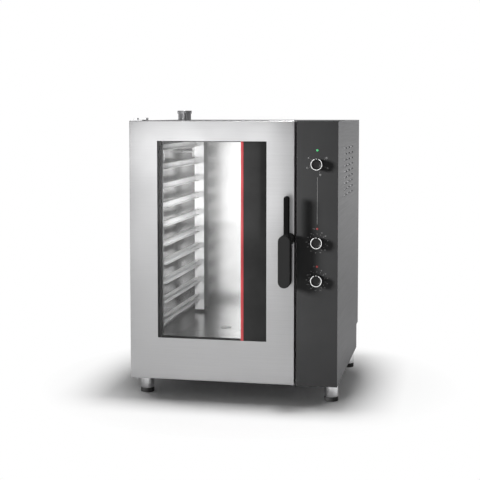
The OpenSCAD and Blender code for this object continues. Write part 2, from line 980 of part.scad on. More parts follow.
// Bushings inside the door that turn on the pins
module hinge_bushings() {
    color("goldenrod") placed() for (z = [door_low + sheet, door_high - sheet - 42]) difference() {
        rod_z(z, z + 42, 7.5, hinge_x, hinge_y);
        rod_z(z - 1, z + 43, hinge_pin_r + running, hinge_x, hinge_y);
    }
}

// ---- feet ----

module leg_tubes() {
    z0 = foot_h + 0.3;
    color("silver") placed() for (x = [-leg_x, leg_x], y = [leg_front_y, leg_back_y]) {
        difference() {
            rod_z(z0, leg_h, leg_r, x, y);
            rod_z(z0 + 8, leg_h - 6, leg_r - 2, x, y);
            rod_z(z0 - 1, z0 + 9, stem_r + running, x, y);
        }
        rod_z(leg_h, leg_h + 14, 5, x, y);
    }
}

// Levelling foot with its stem in the leg tube
module foot(x, y) {
    color("black") placed() {
        rod_z(0, foot_h, leg_r, x, y);
        rod_z(foot_h, 56, stem_r, x, y);
    }
}

module foot_front_left() {
    foot(-leg_x, leg_front_y);
}

module foot_front_right() {
    foot(leg_x, leg_front_y);
}

module foot_back_left() {
    foot(-leg_x, leg_back_y);
}

module foot_back_right() {
    foot(leg_x, leg_back_y);
}

base_tray();
top_panel();
side_panel_left();
side_panel_right();
rear_panel();
rear_cover();
front_frame();
partition();
cavity_shell();
insulation();
door_seal();
fan_baffle();
rack_left();
rack_right();
rails_left();
rails_right();
rack_studs();
fan_wheel_upper();
fan_wheel_lower();
fan_motors();
heaters();
steam_pipe();
water_valve();
drain_pipe();
drain_strainer();
vent_pipe();
vent_cap();
cooling_fan_frame();
cooling_fan_wheel();
terminal_block();
contactors();
rotary_switches();
lamp_housing();
lamp_lens();
cable_gland();
control_panel();
knob_mode();
knob_timer();
knob_temperature();
knob_ring_mode();
knob_ring_timer();
knob_ring_temperature();
indicator_green();
indicators_red();
door_skin();
door_inner();
glass_panes();
glass_print();
glass_spacer();
handle();
latch_cam();
latch_keeper();
hinge_brackets();
hinge_pins();
hinge_bushings();
leg_tubes();
foot_front_left();
foot_front_right();
foot_back_left();
foot_back_right();
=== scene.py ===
import json
import math

import bmesh
import bpy
from mathutils import Matrix, Vector


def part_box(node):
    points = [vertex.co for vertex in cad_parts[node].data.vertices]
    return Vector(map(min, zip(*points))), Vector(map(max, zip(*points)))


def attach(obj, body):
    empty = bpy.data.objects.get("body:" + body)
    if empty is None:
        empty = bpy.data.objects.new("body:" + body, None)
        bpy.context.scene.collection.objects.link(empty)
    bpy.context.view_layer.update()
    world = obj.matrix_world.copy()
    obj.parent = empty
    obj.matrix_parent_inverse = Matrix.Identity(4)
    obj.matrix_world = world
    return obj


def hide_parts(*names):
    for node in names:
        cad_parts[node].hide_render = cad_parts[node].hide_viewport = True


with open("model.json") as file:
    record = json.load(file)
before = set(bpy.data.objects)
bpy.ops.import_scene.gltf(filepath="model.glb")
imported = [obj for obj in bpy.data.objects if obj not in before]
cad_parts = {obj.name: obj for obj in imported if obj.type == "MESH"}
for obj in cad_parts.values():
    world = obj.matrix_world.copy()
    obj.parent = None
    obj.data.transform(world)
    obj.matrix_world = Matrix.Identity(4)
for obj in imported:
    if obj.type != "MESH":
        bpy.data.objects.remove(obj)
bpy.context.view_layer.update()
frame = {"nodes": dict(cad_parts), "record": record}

MM = 0.001


# ---------------------------------------------------------------- places, read from the frame

class Box:
    """A node's box by name: x0, x1, y0, y1, z0, z1 and its middle x, y, z."""

    def __init__(self, node):
        low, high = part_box(node)
        self.x0, self.y0, self.z0 = low
        self.x1, self.y1, self.z1 = high
        self.x = (self.x0 + self.x1) / 2
        self.y = (self.y0 + self.y1) / 2
        self.z = (self.z0 + self.z1) / 2


skin = Box("door_skin")
window = Box("glass_print")
spacer = Box("glass_spacer")
side = Box("side_panel_right")
chamber = Box("cavity_shell")
front_y = skin.y0
SHEET = 1.5 * MM
GRAIN_HEIGHT = 0.2 * MM
PRINT_RISE = 0.15 * MM


# ---------------------------------------------------------------- materials

class Shade:
    """A node material with a Principled shader and a few shortcuts."""

    def __init__(self, name, color, roughness, metallic=0.0, **sockets):
        self.material = bpy.data.materials.new(name)
        self.material.use_nodes = True
        self.material.diffuse_color = (*color, 1.0)
        self.tree = self.material.node_tree
        self.shader = self.tree.nodes["Principled BSDF"]
        self.output = self.tree.nodes["Material Output"]
        self.shader.inputs["Base Color"].default_value = (*color, 1.0)
        self.shader.inputs["Roughness"].default_value = roughness
        self.shader.inputs["Metallic"].default_value = metallic
        for socket, value in sockets.items():
            self.shader.inputs[socket.replace("_", " ")].default_value = value
        self.color = color

    def node(self, kind, **values):
        made = self.tree.nodes.new(kind)
        for key, value in values.items():
            setattr(made, key, value)
        return made

    def link(self, source, target):
        self.tree.links.new(source, target)

    def coords(self, scale):
        place = self.node("ShaderNodeTexCoord")
        mapping = self.node("ShaderNodeMapping")
        mapping.inputs["Scale"].default_value = scale
        self.link(place.outputs["Object"], mapping.inputs["Vector"])
        return mapping.outputs["Vector"]

    def along(self, axis):
        """The object's own coordinate along X, Y or Z."""
        place = self.node("ShaderNodeTexCoord")
        split = self.node("ShaderNodeSeparateXYZ")
        self.link(place.outputs["Object"], split.inputs["Vector"])
        return split.outputs[axis]

    def noise(self, scale, detail=3.0, roughness=0.5):
        made = self.node("ShaderNodeTexNoise")
        made.inputs["Scale"].default_value = 1.0
        made.inputs["Detail"].default_value = detail
        made.inputs["Roughness"].default_value = roughness
        self.link(self.coords(scale), made.inputs["Vector"])
        return made.outputs["Fac"]

    def spread(self, source, low, high, start=0.3, end=0.7):
        made = self.node("ShaderNodeMapRange")
        made.inputs["From Min"].default_value = start
        made.inputs["From Max"].default_value = end
        made.inputs["To Min"].default_value = low
        made.inputs["To Max"].default_value = high
        self.link(source, made.inputs["Value"])
        return made.outputs["Result"]

    def tint(self, source, low, high, start=0.3, end=0.7):
        """Base colour from low to high times the plain colour, as source goes from start to end."""
        ramp = self.node("ShaderNodeValToRGB")
        ramp.color_ramp.elements[0].position = start
        ramp.color_ramp.elements[1].position = end
        for element, factor in zip(ramp.color_ramp.elements, (low, high)):
            element.color = (*(min(c * factor, 1.0) for c in self.color), 1.0)
        self.link(source, ramp.inputs["Fac"])
        self.link(ramp.outputs["Color"], self.shader.inputs["Base Color"])

    def vary_roughness(self, source, low, high):
        self.link(self.spread(source, low, high), self.shader.inputs["Roughness"])

    def bump(self, source, strength):
        made = self.node("ShaderNodeBump")
        made.inputs["Strength"].default_value = strength
        made.inputs["Distance"].default_value = GRAIN_HEIGHT
        self.link(source, made.inputs["Height"])
        self.link(made.outputs["Normal"], self.shader.inputs["Normal"])


def brushed(name, color, roughness, grain=(3, 3, 420), depth=0.35, contrast=0.05):
    """Ground stainless sheet: long fine streaks, stretched along the axes with a small scale."""
    made = Shade(name, color, roughness, 1.0)
    streaks = made.noise(grain, detail=5.0, roughness=0.7)
    made.tint(streaks, 1 - contrast, 1 + contrast)
    made.bump(streaks, depth)
    clouds = made.noise((5, 5, 5), detail=3.0)
    made.vary_roughness(clouds, roughness * 0.88, roughness * 1.12)
    return made.material


def satin(name, color, roughness, metallic=1.0, depth=0.12, **sockets):
    """Bead-blasted or pickled metal, or satin paint: fine even grain with faint clouds."""
    made = Shade(name, color, roughness, metallic, **sockets)
    made.tint(made.noise((9, 9, 9), detail=4.0), 0.94, 1.05)
    made.bump(made.noise((900, 900, 900), detail=2.0), depth)
    return made.material


def plastic(name, color, roughness, grain=1400, depth=0.25, **sockets):
    """Moulded plastic with a fine eroded texture."""
    made = Shade(name, color, roughness, **sockets)
    made.tint(made.noise((14, 14, 14), detail=3.0), 0.85, 1.15)
    made.bump(made.noise((grain,) * 3, detail=2.0), depth)
    return made.material


def pane(name):
    """Clear glass: see-through, with a mirror sheen that grows at a slant."""
    made = Shade(name, (0.9, 0.95, 0.93), 0.02)
    clear = made.node("ShaderNodeBsdfTransparent")
    clear.inputs["Color"].default_value = (0.985, 0.985, 0.985, 1.0)
    mirror = made.node("ShaderNodeBsdfGlossy")
    mirror.inputs["Roughness"].default_value = 0.03
    mirror.inputs["Color"].default_value = (1.0, 1.0, 1.0, 1.0)
    fresnel = made.node("ShaderNodeFresnel")
    fresnel.inputs["IOR"].default_value = 1.25
    mix = made.node("ShaderNodeMixShader")
    made.link(fresnel.outputs["Fac"], mix.inputs["Fac"])
    made.link(clear.outputs["BSDF"], mix.inputs[1])
    made.link(mirror.outputs["BSDF"], mix.inputs[2])
    made.link(mix.outputs["Shader"], made.output.inputs["Surface"])
    return made.material


def louvred(name, color, roughness, gain, plain_x):
    """Sheet facing +X with painted light: paler by the given factor where it is pressed in behind
    plain_x, so the louvre blades in the shade of their slots look lit.
    """
    made = Shade(name, color, roughness, 1.0)
    made.tint(made.along("X"), gain, 1.0, plain_x - 0.5 * MM, plain_x)
    streaks = made.noise((3, 3, 420), detail=5.0, roughness=0.7)
    made.bump(streaks, 0.2)
    made.vary_roughness(streaks, roughness * 0.9, roughness * 1.1)
    return made.material


def worn_plastic(name, color, gain, low, high):
    """Matt plastic with painted light: paler by the given factor below one height as a painted
    sheen, and plain dark above the other.
    """
    made = Shade(name, color, 0.5, Specular_IOR_Level=0.03)
    made.tint(made.along("Z"), gain, 1.0, low, high)
    made.bump(made.noise((1400,) * 3, detail=2.0), 0.25)
    return made.material


def lamp(name, color, strength):
    """Small lit lens: coloured plastic with a fine grain, glowing evenly."""
    made = Shade(name, color, 0.25)
    made.tint(made.noise((600, 600, 600)), 0.9, 1.1)
    made.shader.inputs["Emission Color"].default_value = (*color, 1.0)
    made.shader.inputs["Emission Strength"].default_value = strength
    return made.material


STEEL_DOOR = brushed("door_steel", (0.495, 0.495, 0.50), 0.36)
STEEL_CHAMBER = satin("chamber_steel", (0.60, 0.60, 0.60), 0.22, depth=0.04)
STEEL_RACK = satin("rack_steel", (0.95, 0.95, 0.95), 0.45, metallic=0.3, depth=0.05)
STEEL_CABINET = brushed("cabinet_steel", (0.46, 0.46, 0.47), 0.42, grain=(3, 420, 3))
STEEL_BACK = brushed("back_steel", (0.46, 0.46, 0.47), 0.45)
STEEL_BRIGHT = brushed("bright_steel", (0.78, 0.78, 0.79), 0.2, grain=(200, 200, 4), depth=0.1)
# the louvre blades' paleness is painted light, standing in for light that hardly reaches into the
# slots
SIDE_GREY = louvred("side_grey", (0.14, 0.14, 0.145), 0.5, 6.5, side.x1 - SHEET - 0.3 * MM)
PANEL_GREY = satin(
    "panel_grey", (0.035, 0.035, 0.0355), 0.5, metallic=0.0, depth=0.08, Specular_IOR_Level=0.06,
)
BLACK_PLASTIC = plastic("black_plastic", (0.008, 0.008, 0.008), 0.42, Specular_IOR_Level=0.15)
FOOT_PLASTIC = plastic("foot_plastic", (0.02, 0.02, 0.02), 0.55)
BLACK_RUBBER = plastic("black_rubber", (0.016, 0.016, 0.016), 0.7, grain=500)
BAND_BLACK = plastic(
    "band_black", (0.017, 0.017, 0.017), 0.15, grain=2500, depth=0.02, Specular_IOR_Level=0.12,
)
STRIPE_RED = plastic("stripe_red", (0.32, 0.035, 0.04), 0.2, grain=2500, depth=0.02)
RING_WHITE = plastic("ring_white", (0.62, 0.62, 0.62), 0.35, depth=0.05)
MARK_GREY = plastic("mark_grey", (0.24, 0.24, 0.24), 0.5, depth=0.05)
IVORY = plastic("ivory_plastic", (0.62, 0.60, 0.52), 0.45)
MOTOR = satin("motor_grey", (0.30, 0.32, 0.35), 0.5, depth=0.4)
WOOL = plastic("mineral_wool", (0.50, 0.44, 0.25), 0.95, grain=120, depth=1.0)
BRASS = satin("brass", (0.60, 0.45, 0.20), 0.35)
GLASS = pane("clear_glass")
GREEN_LAMP = lamp("green_lamp", (0.04, 0.32, 0.11), 0.3)
RED_LAMP = lamp("red_lamp", (0.20, 0.02, 0.02), 0.2)

SLOT_MATERIALS = {
    "brushed_steel": STEEL_DOOR,
    "chamber_steel": STEEL_CHAMBER,
    "cabinet_steel": STEEL_CABINET,
    "panel_grey": PANEL_GREY,
    "side_grey": SIDE_GREY,
    "black_plastic": BLACK_PLASTIC,
    "black_print": BAND_BLACK,
    "bright_steel": STEEL_BRIGHT,
    "glass": GLASS,
    "seal_rubber": BLACK_RUBBER,
    "knob_ring": RING_WHITE,
    "green_lens": GREEN_LAMP,
    "red_lens": RED_LAMP,
    "motor_grey": MOTOR,
    "wool": WOOL,
    "ivory_plastic": IVORY,
    "brass": BRASS,
}


# ---------------------------------------------------------------- the frame's records

record = frame["record"]
node_slot = {part["node"]: part["material_slot"] for part in record["subparts"]}
node_body = {n: b for b, names in record["behaviour"]["bodies"].items() for n in names}


def dress(obj, material):
    obj.data.materials.clear()
    obj.data.materials.append(material)


for node_name, node_object in frame["nodes"].items():
    dress(node_object, SLOT_MATERIALS[node_slot[node_name]])


# ---------------------------------------------------------------- mesh helpers

def smooth(obj, angle=35):
    """Shades faces smoothly, apart from edges sharper than angle."""
    for face in obj.data.polygons:
        face.use_smooth = True
    obj.data.set_sharp_from_angle(angle=math.radians(angle))


def apply(obj, kind, **values):
    """Adds a modifier and bakes its result into the mesh."""
    modifier = obj.modifiers.new(kind.lower(), kind)
    for key, value in values.items():
        setattr(modifier, key, value)
    graph = bpy.context.evaluated_depsgraph_get()
    result = bpy.data.meshes.new_from_object(obj.evaluated_get(graph))
    obj.modifiers.clear()
    obj.data = result


def in_scene(name, data):
    """A new object in the scene with that mesh, lamp, camera or curve."""
    obj = bpy.data.objects.new(name, data)
    bpy.context.scene.collection.objects.link(obj)
    return obj


def from_bmesh(name, mesh):
    """A new object made of a bmesh, which is used up."""
    data = bpy.data.meshes.new(name)
    mesh.to_mesh(data)
    mesh.free()
    return in_scene(name, data)


def finish_piece(obj, body, material, replaces=()):
    """Dresses an object in a material, sets it riding on a body and hides the CAD parts it
    replaces.
    """
    dress(obj, material)
    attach(obj, body)
    if replaces:
        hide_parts(*replaces)
    return obj


def piece(name, mesh, body, material, replaces=(), angle=35):
    """A new object from a bmesh, riding on a body."""
    bmesh.ops.recalc_face_normals(mesh, faces=mesh.faces)
    obj = from_bmesh(name, mesh)
    smooth(obj, angle)
    return finish_piece(obj, body, material, replaces)


def soften(mesh, width):
    """Rounds every edge sharper than 30 degrees."""
    limit = math.radians(30)
    sharp = [e for e in mesh.edges if len(e.link_faces) == 2 and e.calc_face_angle(0) > limit]
    bmesh.ops.bevel(
        mesh, geom=sharp, offset=width, offset_type="OFFSET", segments=2,
        profile=0.5, affect="EDGES", clamp_overlap=True,
    )


def refined(node, width, material):
    """Stands for a CAD node with its own shape, its edges broken as a deburred sheet's are."""
    mesh = bmesh.new()
    mesh.from_mesh(frame["nodes"][node].data)
    bmesh.ops.remove_doubles(mesh, verts=mesh.verts, dist=0.005 * MM)
    bmesh.ops.dissolve_limit(
        mesh, angle_limit=math.radians(0.5), verts=mesh.verts, edges=mesh.edges,
    )
    soften(mesh, width)
    bmesh.ops.triangulate(mesh, faces=[f for f in mesh.faces if len(f.verts) > 4])
    obj = piece(node + "_finished", mesh, node_body[node], material, (node,))
    # keeps the big faces flat up to their rounded edges
    apply(obj, "WEIGHTED_NORMAL", keep_sharp=True)


def add_box(mesh, low, high):
    """A box between two corners."""
    made = bmesh.ops.create_cube(mesh, size=1.0)["verts"]
    low, high = Vector(low), Vector(high)
    for v in made:
        v.co = Vector((low[i] + (v.co[i] + 0.5) * (high[i] - low[i]) for i in range(3)))
    return made


def frame_for(axis):
    """Rotation that takes +Z to the axis."""
    return Vector((0, 0, 1)).rotation_difference(Vector(axis)).to_matrix().to_4x4()


def add_lathe(mesh, profile, centre, axis, steps=48):
    """Turns (radius, height) points round an axis. Ends with radius 0 close to a point."""
    place = Matrix.Translation(Vector(centre)) @ frame_for(axis)
    rings = []
    for radius, height in profile:
        if radius < 1e-7:
            rings.append([mesh.verts.new(place @ Vector((0, 0, height)))])
            continue
        turns = (2 * math.pi * i / steps for i in range(steps))
        rings.append([
            mesh.verts.new(place @ Vector((radius * math.cos(t), radius * math.sin(t), height)))
            for t in turns
        ])
    for lower, upper in zip(rings, rings[1:]):
        for i in range(steps):
            j = (i + 1) % steps
            corners = []
            for v in (lower[i % len(lower)], lower[j % len(lower)],
                      upper[j % len(upper)], upper[i % len(upper)]):
                if v not in corners:
                    corners.append(v)
            mesh.faces.new(corners)


def add_prism(mesh, outline, y0, y1):
    """Extrudes an X-Z outline from y0 to y1."""
    near = [mesh.verts.new((x, y0, z)) for x, z in outline]
    far = [mesh.verts.new((x, y1, z)) for x, z in outline]
    mesh.faces.new(near)
    mesh.faces.new(far[::-1])
    count = len(outline)
    for i in range(count):
        j = (i + 1) % count
        mesh.faces.new((near[i], near[j], far[j], far[i]))


def arc(cx, cz, radius, start, end, steps):
    """Points on an arc, angles in degrees from +X towards +Z."""
    angles = (math.radians(start + (end - start) * i / steps) for i in range(steps + 1))
    return [(cx + radius * math.cos(a), cz + radius * math.sin(a)) for a in angles]


# ---------------------------------------------------------------- camera, lights, floor

def make_camera():
    """The photograph's place, from the right of the front and as high as the top, looking
    slightly down. Place, turn and lens come from the fit of the cabinet to the picture."""
    data = bpy.data.cameras.new("camera")
    data.sensor_width = 36.0
    data.lens = 83.06
    data.shift_y = -0.11
    camera = in_scene("camera", data)
    camera.location = (0.8088, front_y - 3.8035, 1.0247)
    camera.rotation_euler = (math.radians(90 - 3.755), 0.0, math.radians(11.58))
    bpy.context.scene.camera = camera


def aimed(name, data, place, target):
    """A lamp at a place, shining at a target."""
    light = in_scene(name, data)
    light.location = place
    light.rotation_euler = (Vector(target) - Vector(place)).to_track_quat("-Z", "Y").to_euler()
    return light


def area_light(name, place, target, size, power):
    data = bpy.data.lights.new(name, "AREA")
    data.shape = "RECTANGLE"
    data.size, data.size_y = size
    data.energy = power
    return aimed(name, data, place, target)


def spot_light(name, place, target, angle, softness, power):
    data = bpy.data.lights.new(name, "SPOT")
    data.spot_size = math.radians(angle)
    data.spot_blend = 0.6
    data.shadow_soft_size = softness
    data.energy = power
    return aimed(name, data, place, target)


def make_world():
    """White behind the object. What lights the object is a dimmer plain sky."""
    world = bpy.data.worlds.new("studio")
    world.use_nodes = True
    bpy.context.scene.world = world
    tree = world.node_tree
    sky = tree.nodes["Background"]
    sky.inputs["Color"].default_value = (SKY_LEVEL, SKY_LEVEL, SKY_LEVEL, 1.0)
    white = tree.nodes.new("ShaderNodeBackground")
    white.inputs["Color"].default_value = (1.0, 1.0, 1.0, 1.0)
    path = tree.nodes.new("ShaderNodeLightPath")
    mix = tree.nodes.new("ShaderNodeMixShader")
    tree.links.new(path.outputs["Is Camera Ray"], mix.inputs["Fac"])
    tree.links.new(sky.outputs["Background"], mix.inputs[1])
    tree.links.new(white.outputs["Background"], mix.inputs[2])
    tree.links.new(mix.outputs["Shader"], tree.nodes["World Output"].inputs["Surface"])


def make_floor():
    """White paper. It fades into plain white away from the object, nearer for the camera's own
    rays than for reflections, so that no edge shows."""
    mesh = bmesh.new()
    bmesh.ops.create_grid(mesh, x_segments=1, y_segments=1, size=FLOOR_REACH)
    floor = from_bmesh("floor", mesh)
    shade = Shade("floor_paper", (0.92, 0.92, 0.92), 0.9)
    shade.tint(shade.noise((2, 2, 2)), 0.985, 1.0)
    place = shade.node("ShaderNodeTexCoord")
    reach = shade.node("ShaderNodeVectorMath", operation="LENGTH")
    shade.link(place.outputs["Object"], reach.inputs[0])
    path = shade.node("ShaderNodeLightPath")
    seen = shade.node("ShaderNodeMath", operation="MULTIPLY")
    shade.link(shade.spread(reach.outputs["Value"], 0.0, 1.0, *FLOOR_FADE), seen.inputs[0])
    shade.link(path.outputs["Is Camera Ray"], seen.inputs[1])
    whole = shade.node("ShaderNodeMath", operation="MULTIPLY_ADD")
    shade.link(shade.spread(reach.outputs["Value"], 0.0, 1.0, *MIRROR_FADE), whole.inputs[0])
    shade.link(path.outputs["Is Glossy Ray"], whole.inputs[1])
    shade.link(seen.outputs["Value"], whole.inputs[2])
    white = shade.node("ShaderNodeEmission")
    mix = shade.node("ShaderNodeMixShader")
    shade.link(whole.outputs["Value"], mix.inputs["Fac"])
    shade.link(shade.shader.outputs["BSDF"], mix.inputs[1])
    shade.link(white.outputs["Emission"], mix.inputs[2])
    shade.link(mix.outputs["Shader"], shade.output.inputs["Surface"])
    dress(floor, shade.material)


def link_light(light, state, *names):
    """Takes objects out of a lamp's light with EXCLUDE, or keeps it to them with INCLUDE."""
    receivers = bpy.data.collections.new(light.name + "_receivers")
    for name in names:
        receivers.objects.link(bpy.data.objects[name])
    for entry in receivers.collection_objects:
        entry.light_linking.link_state = state
    light.light_linking.receiver_collection = receivers


# metres from the object's middle where the floor begins and ends its fade to white, for the
# camera's own rays and for reflections
FLOOR_FADE = (0.42, 0.8)
MIRROR_FADE = (1.5, 4.5)
FLOOR_REACH = 60.0
SKY_LEVEL = 0.2
make_camera()
make_world()
make_floor()
key_light = spot_light(
    "key_left", place=(-2.95, -2.65, 1.45), target=(0.30, -0.36, 0.58), angle=26,
    softness=0.50, power=1250,
)
front_light = area_light(
    "front_soft", place=(-1.20, -4.34, 1.28), target=(-0.1, -0.34, 0.95), size=(2.5, 2.1), power=32,
)
area_light(
    "back_soft", place=(1.9, 4.2, 1.3), target=(0.375, 0.0, 0.7), size=(1.2, 2.0), power=8,
)
top_light = area_light(
    "overhead", place=(0.1, -0.1, 3.4), target=(0.1, -0.1, 0.0), size=(0.5, 0.5), power=100,
)
chamber_light = area_light(
    "chamber_light", place=(0.04, -0.2, 0.74), target=(-0.16, 0.25, 0.40), size=(0.12, 0.20),
    power=2.1,
)
chamber_light.visible_glossy = False
rack_light = area_light(
    "rack_light", place=(-0.02, -0.24, 0.72), target=(-0.26, 0.25, 0.50), size=(0.12, 0.20),
    power=2.2,
)
rack_light.visible_glossy = False
wall_light = area_light(
    "wall_light", place=(-0.165, 0.0, 0.58), target=(-0.165, 0.2, 0.58), size=(0.17, 0.68),
    power=0.46,
)
wall_light.visible_camera = False
bpy.context.scene.view_settings.view_transform = "Standard"


# ---------------------------------------------------------------- cabinet and fittings

REFINED = {
    "side_panel_right": (0.3 * MM, SIDE_GREY),
    "side_panel_left": (0.4 * MM, STEEL_DOOR),
    "top_panel": (0.5 * MM, STEEL_CABINET),
    "rear_panel": (0.4 * MM, STEEL_BACK),
    "rear_cover": (0.4 * MM, STEEL_BACK),
    "base_tray": (0.4 * MM, STEEL_CABINET),
    "cavity_shell": (0.4 * MM, STEEL_CHAMBER),
    "front_frame": (0.4 * MM, STEEL_CHAMBER),
    "fan_baffle": (0.5 * MM, STEEL_CHAMBER),
    "rack_left": (0.5 * MM, STEEL_RACK),
    "rack_right": (0.5 * MM, STEEL_RACK),
    "rails_left": (0.5 * MM, STEEL_RACK),
    "rails_right": (0.5 * MM, STEEL_RACK),
    "rack_studs": (0.8 * MM, STEEL_RACK),
    "vent_pipe": (0.4 * MM, STEEL_BACK),
    "vent_cap": (0.5 * MM, STEEL_BACK),
    "hinge_brackets": (0.8 * MM, STEEL_BRIGHT),
    "hinge_pins": (0.8 * MM, STEEL_BRIGHT),
    "leg_tubes": (0.8 * MM, STEEL_BRIGHT),
    "drain_strainer": (0.4 * MM, STEEL_RACK),
    "door_inner": (0.4 * MM, STEEL_CHAMBER),
    "door_seal": (1.2 * MM, BLACK_RUBBER),
    "glass_spacer": (0.8 * MM, BLACK_RUBBER),
    "latch_keeper": (0.4 * MM, STEEL_BRIGHT),
    "latch_cam": (0.8 * MM, STEEL_BRIGHT),
    "cable_gland": (1.0 * MM, BLACK_PLASTIC),
    "water_valve": (0.8 * MM, IVORY),
    "drain_pipe": (0.8 * MM, STEEL_BRIGHT),
    "fan_wheel_upper": (0.4 * MM, STEEL_RACK),
    "fan_wheel_lower": (0.4 * MM, STEEL_RACK),
    "foot_front_left": (1.5 * MM, FOOT_PLASTIC),
    "foot_front_right": (1.5 * MM, FOOT_PLASTIC),
    "foot_back_left": (1.5 * MM, FOOT_PLASTIC),
    "foot_back_right": (1.5 * MM, FOOT_PLASTIC),
}
for name, (width, material) in REFINED.items():
    refined(name, width, material)


# ---------------------------------------------------------------- folded front sheets

def folded_front(name, node, opening=None, sides="lrtb", radius=2.2 * MM):
    """A sheet folded back along its edges, with an optional window (x0, x1, z0, z1)."""
    box = Box(node)
    xs = [box.x0, box.x1]
    zs = [box.z0, box.z1]
    if opening:
        xs[1:1] = opening[:2]
        zs[1:1] = opening[2:]
    mesh = bmesh.new()
    grid = [[mesh.verts.new((x, box.y0, z)) for z in zs] for x in xs]
    for i in range(len(xs) - 1):
        for j in range(len(zs) - 1):
            if opening and i == 1 and j == 1:
                continue
            mesh.faces.new((grid[i][j], grid[i + 1][j], grid[i + 1][j + 1], grid[i][j + 1]))
    borders = {
        "l": grid[0],
        "r": grid[-1],
        "b": [column[0] for column in grid],
        "t": [column[-1] for column in grid],
    }
    back = {}
    for key in sides:
        for v in borders[key]:
            if v not in back:
                back[v] = mesh.verts.new((v.co.x, box.y1, v.co.z))
    for key in sides:
        row = borders[key]
        for a, b in zip(row, row[1:]):
            mesh.faces.new((a, b, back[b], back[a]))
    bmesh.ops.recalc_face_normals(mesh, faces=mesh.faces)
    folds = [e for e in mesh.edges if len(e.link_faces) == 2 and e.calc_face_angle(0) > 0.5]
    bmesh.ops.bevel(
        mesh, geom=folds, offset=radius, offset_type="OFFSET", segments=4,
        profile=0.5, affect="EDGES", clamp_overlap=True,
    )
    bmesh.ops.recalc_face_normals(mesh, faces=mesh.faces)
    centre = Vector((box.x, box.y0, box.z))
    front = min(mesh.faces, key=lambda f: (f.calc_center_median() - centre).length)
    if front.normal.y > 0:
        bmesh.ops.reverse_faces(mesh, faces=mesh.faces)
    obj = from_bmesh(name, mesh)
    # a little thinner than the sheet, to stay inside the CAD box
    apply(obj, "SOLIDIFY", thickness=SHEET * 0.95, offset=-1.0)
    smooth(obj, 40)
    return obj


SPACER_LAP = 8 * MM
door = folded_front(
    "door_skin_folded", "door_skin",
    (spacer.x0 + SPACER_LAP, window.x1, window.z0, window.z1),
)
finish_piece(door, "door", STEEL_DOOR, ("door_skin",))
fascia = folded_front("control_panel_folded", "control_panel", sides="ltb", radius=1.6 * MM)
finish_piece(fascia, "cabinet", PANEL_GREY, ("control_panel",))


# ---------------------------------------------------------------- printed glass

def band_split():
    """Where the stripe ends and the dark band begins."""
    xs = sorted({round(v.co.x, 6) for v in frame["nodes"]["glass_print"].data.vertices})
    return xs[1]


def make_print():
    split = band_split()
    for name, x0, x1, material, replaces in (
        ("printed_band", split, window.x1, BAND_BLACK, ("glass_print",)),
        ("printed_stripe", window.x0, split, STRIPE_RED, ()),
    ):
        mesh = bmesh.new()
        add_box(mesh, (x0, window.y0, window.z0), (x1, window.y1, window.z1))
        soften(mesh, 0.12 * MM)
        piece(name, mesh, "door", material, replaces)


# ---------------------------------------------------------------- door handle

LATCH_HUB_R = 11 * MM


def stadium(cx, low, high, half, steps=20):
    """Upright outline with half-round ends."""
    upper = arc(cx, high - half, half, 0, 180, steps)
    lower = arc(cx, low + half, half, 180, 360, steps)
    return upper + lower


def spindle_centre():
    """X and Z of the latch spindle, the handle's axis."""
    cam = Box("latch_cam")
    return cam.x0 + LATCH_HUB_R, cam.z1 - LATCH_HUB_R


def make_handle():
    """Slim bar above, broad grip below, carried by a neck and a round hub at the door's edge."""
    box = Box("handle")
    hub_x, hub_z = spindle_centre()
    grip_half = 21.5 * MM
    grip_depth = 43 * MM
    grip_x = box.x0 + grip_half
    grip_top = box.z0 + 183 * MM
    heel_inset = 8 * MM
    heel_half = 13 * MM
    bar_half = 9.5 * MM
    bar_x = grip_x + 7 * MM
    bar_low = hub_z - 6 * MM
    neck_y = box.y0 + 24 * MM
    mesh = bmesh.new()
    add_prism(mesh, stadium(grip_x, box.z0, grip_top, grip_half), box.y0, box.y0 + grip_depth)
    heel = stadium(grip_x, box.z0 + heel_inset, grip_top - heel_inset, heel_half)
    add_prism(mesh, heel, box.y0 + 30 * MM, box.y0 + grip_depth)
    bar = stadium(bar_x, bar_low, box.z1, bar_half)
    add_prism(mesh, bar, box.y0 + 4 * MM, box.y0 + 23 * MM)
    neck = [
        (0, -12 * MM), (17.5 * MM, -12 * MM), (18.5 * MM, 10 * MM), (19 * MM, 39 * MM),
        (17 * MM, 40 * MM), (0, 40 * MM),
    ]
    add_lathe(mesh, neck, (hub_x, neck_y, hub_z), (0, 1, 0))
    bmesh.ops.recalc_face_normals(mesh, faces=mesh.faces)
    obj = from_bmesh("handle_moulded", mesh)
    apply(obj, "REMESH", mode="VOXEL", voxel_size=1.3 * MM)
    apply(obj, "SMOOTH", factor=0.5, iterations=9)
    for v in obj.data.vertices:
        v.co.x = min(max(v.co.x, box.x0), box.x1)
        v.co.y = min(max(v.co.y, box.y0), box.y1)
        v.co.z = min(max(v.co.z, box.z0), box.z1)
    smooth(obj, 60)
    blend = 5 * MM
    # the grip below its top is painted paler as a painted sheen on its broad face; the bar above
    # keeps the darker tone, a painted shade
    worn = worn_plastic(
        "handle_plastic", (0.004, 0.004, 0.004), 4.5, grip_top - blend, grip_top + blend,
    )
    finish_piece(obj, "door_handle", worn, ("handle",))


def make_hub_collar():
    """Thin black collar between the handle's neck and the door."""
    hub_x, hub_z = spindle_centre()
    inner = 9 * MM
    outer = 20.5 * MM
    height = 0.8 * MM
    profile = [
        (inner, 0), (outer - 0.5 * MM, 0), (outer, 0.3 * MM), (outer, height), (inner, height),
    ]
    mesh = bmesh.new()
    add_lathe(mesh, profile, (hub_x, front_y - 1.0 * MM, hub_z), (0, 1, 0))
    piece("handle_collar", mesh, "door", BLACK_PLASTIC)


# ---------------------------------------------------------------- knobs, dials, lamps

